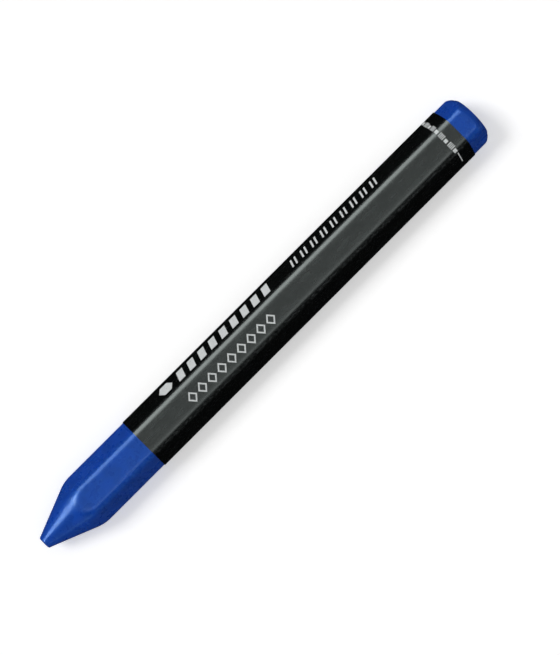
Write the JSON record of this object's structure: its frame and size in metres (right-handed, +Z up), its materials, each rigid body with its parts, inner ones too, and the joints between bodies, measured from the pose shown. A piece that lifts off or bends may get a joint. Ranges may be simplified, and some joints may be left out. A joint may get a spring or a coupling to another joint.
{
  "type": "wax marking crayon",
  "caption": "Hexagonal blue wax marking crayon with a blunt conical tip, in a dark wound paper sleeve that leaves both ends of the wax bare.",
  "frame": {"origin": "middle of the whole crayon's length and width, on the flat that it lies on", "axes": "+X along the crayon towards its tip, +Z up from the flat it lies on to the opposite flat, +Y across"},
  "size_m": [0.12, 0.012, 0.0109],
  "materials": {
    "blue_wax": "satin",
    "printed_paper": "satin",
    "dried_glue": "satin",
    "pale_ink": "satin"
  },
  "bodies": {
    "root": {"wax_stick": "blue_wax", "paper_sleeve": "printed_paper", "tack_glue_line": "dried_glue", "lap_glue_line": "dried_glue"}
  },
  "joints": []
}
